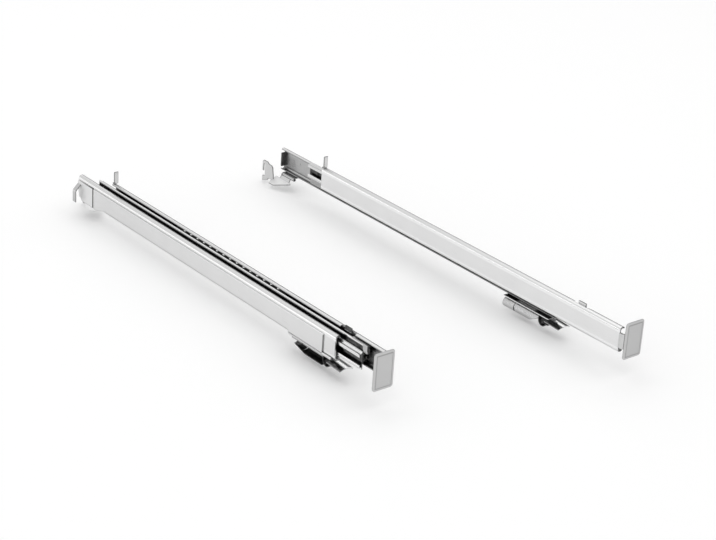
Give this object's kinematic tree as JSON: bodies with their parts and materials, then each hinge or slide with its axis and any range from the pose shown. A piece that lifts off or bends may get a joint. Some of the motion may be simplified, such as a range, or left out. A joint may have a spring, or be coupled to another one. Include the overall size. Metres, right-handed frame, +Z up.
{
  "type": "oven telescopic runner",
  "caption": "Left and right full-extension ball-bearing oven runners of sheet steel, with end plates, tray stops, rack hooks, spring clips and guide tongues.",
  "frame": {"origin": "axis of the bar that the left runner's clip grips, in the middle of the clip's rear sleeve", "axes": "+X from the left runner to the right one, +Y to the rear of the oven, +Z up"},
  "size_m": [0.2145, 0.4975, 0.0522],
  "materials": {
    "rail_steel": "satin chrome-plated sheet",
    "spring_steel": "satin",
    "bright_plate": "bright",
    "ball_steel": "polished",
    "cage_steel": "plain"
  },
  "bodies": {
    "rack_side": {"left_fixed_rail": "rail_steel", "left_holder_plate": "rail_steel", "left_rear_hook": "spring_steel", "left_rear_bracket": "spring_steel", "left_front_clip": "spring_steel", "left_catch": "spring_steel", "left_guide_tongue": "bright_plate", "right_fixed_rail": "rail_steel", "right_holder_plate": "rail_steel", "right_rear_hook": "spring_steel", "right_rear_bracket": "spring_steel", "right_front_clip": "spring_steel", "right_catch": "spring_steel", "right_guide_tongue": "bright_plate"},
    "left_middle": {"left_middle_rail_wall_half": "bright_plate", "left_middle_rail_tray_half": "bright_plate", "left_middle_rivets": "spring_steel", "left_middle_stop": "bright_plate"},
    "left_wall_cage_set": {"left_wall_cage": "cage_steel", "left_wall_balls": "ball_steel"},
    "left_tray_cage_set": {"left_tray_cage": "cage_steel", "left_tray_balls": "ball_steel"},
    "left_tray_side": {"left_tray_rail": "rail_steel", "left_rear_stop": "spring_steel", "left_end_plate": "rail_steel"},
    "right_middle": {"right_middle_rail_wall_half": "bright_plate", "right_middle_rail_tray_half": "bright_plate", "right_middle_rivets": "spring_steel", "right_middle_stop": "bright_plate"},
    "right_wall_cage_set": {"right_wall_cage": "cage_steel", "right_wall_balls": "ball_steel"},
    "right_tray_cage_set": {"right_tray_cage": "cage_steel", "right_tray_balls": "ball_steel"},
    "right_tray_side": {"right_tray_rail": "rail_steel", "right_rear_stop": "spring_steel", "right_end_plate": "rail_steel"}
  },
  "joints": [
    {"name": "left_tray_side_slide", "type": "slide", "parent": "rack_side", "child": "left_tray_side", "axis": [0, -1, 0], "range_m": [0, 0.34]},
    {"name": "left_middle_slide", "type": "slide", "parent": "rack_side", "child": "left_middle", "axis": [0, -1, 0], "range_m": [0, 0.17]},
    {"name": "left_wall_cage_set_slide", "type": "slide", "parent": "rack_side", "child": "left_wall_cage_set", "axis": [0, -1, 0], "range_m": [0, 0.085]},
    {"name": "left_tray_cage_set_slide", "type": "slide", "parent": "rack_side", "child": "left_tray_cage_set", "axis": [0, -1, 0], "range_m": [0, 0.255]},
    {"name": "right_tray_side_slide", "type": "slide", "parent": "rack_side", "child": "right_tray_side", "axis": [0, -1, 0], "range_m": [-0.026, 0.314]},
    {"name": "right_middle_slide", "type": "slide", "parent": "rack_side", "child": "right_middle", "axis": [0, -1, 0], "range_m": [-0.013, 0.157]},
    {"name": "right_wall_cage_set_slide", "type": "slide", "parent": "rack_side", "child": "right_wall_cage_set", "axis": [0, -1, 0], "range_m": [-0.0065, 0.0785]},
    {"name": "right_tray_cage_set_slide", "type": "slide", "parent": "rack_side", "child": "right_tray_cage_set", "axis": [0, -1, 0], "range_m": [-0.0195, 0.2355]}
  ],
  "couplings": [
    {"joint": "left_middle_slide", "follows": "left_tray_side_slide", "ratio": 0.5},
    {"joint": "left_wall_cage_set_slide", "follows": "left_tray_side_slide", "ratio": 0.25},
    {"joint": "left_tray_cage_set_slide", "follows": "left_tray_side_slide", "ratio": 0.75},
    {"joint": "right_middle_slide", "follows": "right_tray_side_slide", "ratio": 0.5},
    {"joint": "right_wall_cage_set_slide", "follows": "right_tray_side_slide", "ratio": 0.25},
    {"joint": "right_tray_cage_set_slide", "follows": "right_tray_side_slide", "ratio": 0.75}
  ]
}
